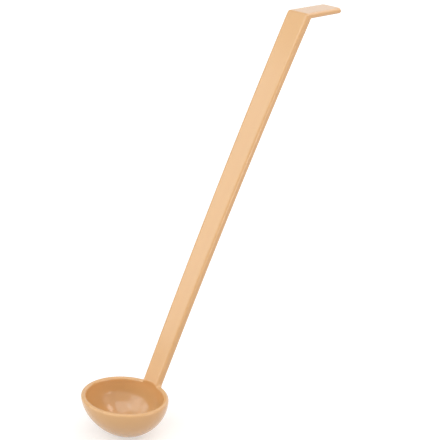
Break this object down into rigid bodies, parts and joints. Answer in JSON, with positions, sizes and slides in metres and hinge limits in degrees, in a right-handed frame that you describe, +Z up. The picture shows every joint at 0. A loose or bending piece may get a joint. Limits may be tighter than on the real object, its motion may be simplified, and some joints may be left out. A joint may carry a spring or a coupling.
{
  "type": "ladle",
  "caption": "Moulded plastic ladle with a round bowl, a rounded lip, a long flat handle that leans outwards, and a flat hook tab for hanging.",
  "frame": {"origin": "centre of the flat foot under the bowl", "axes": "+Z up, square to the bowl's lip; +Y from the bowl towards the handle and hook; +X across the handle"},
  "size_m": [0.048, 0.1884, 0.2238],
  "materials": {
    "moulding": "glossy injection-moulded beige plastic, one colour throughout"
  },
  "bodies": {
    "root": {"bowl": "moulding", "handle": "moulding", "hook": "moulding"}
  },
  "joints": []
}
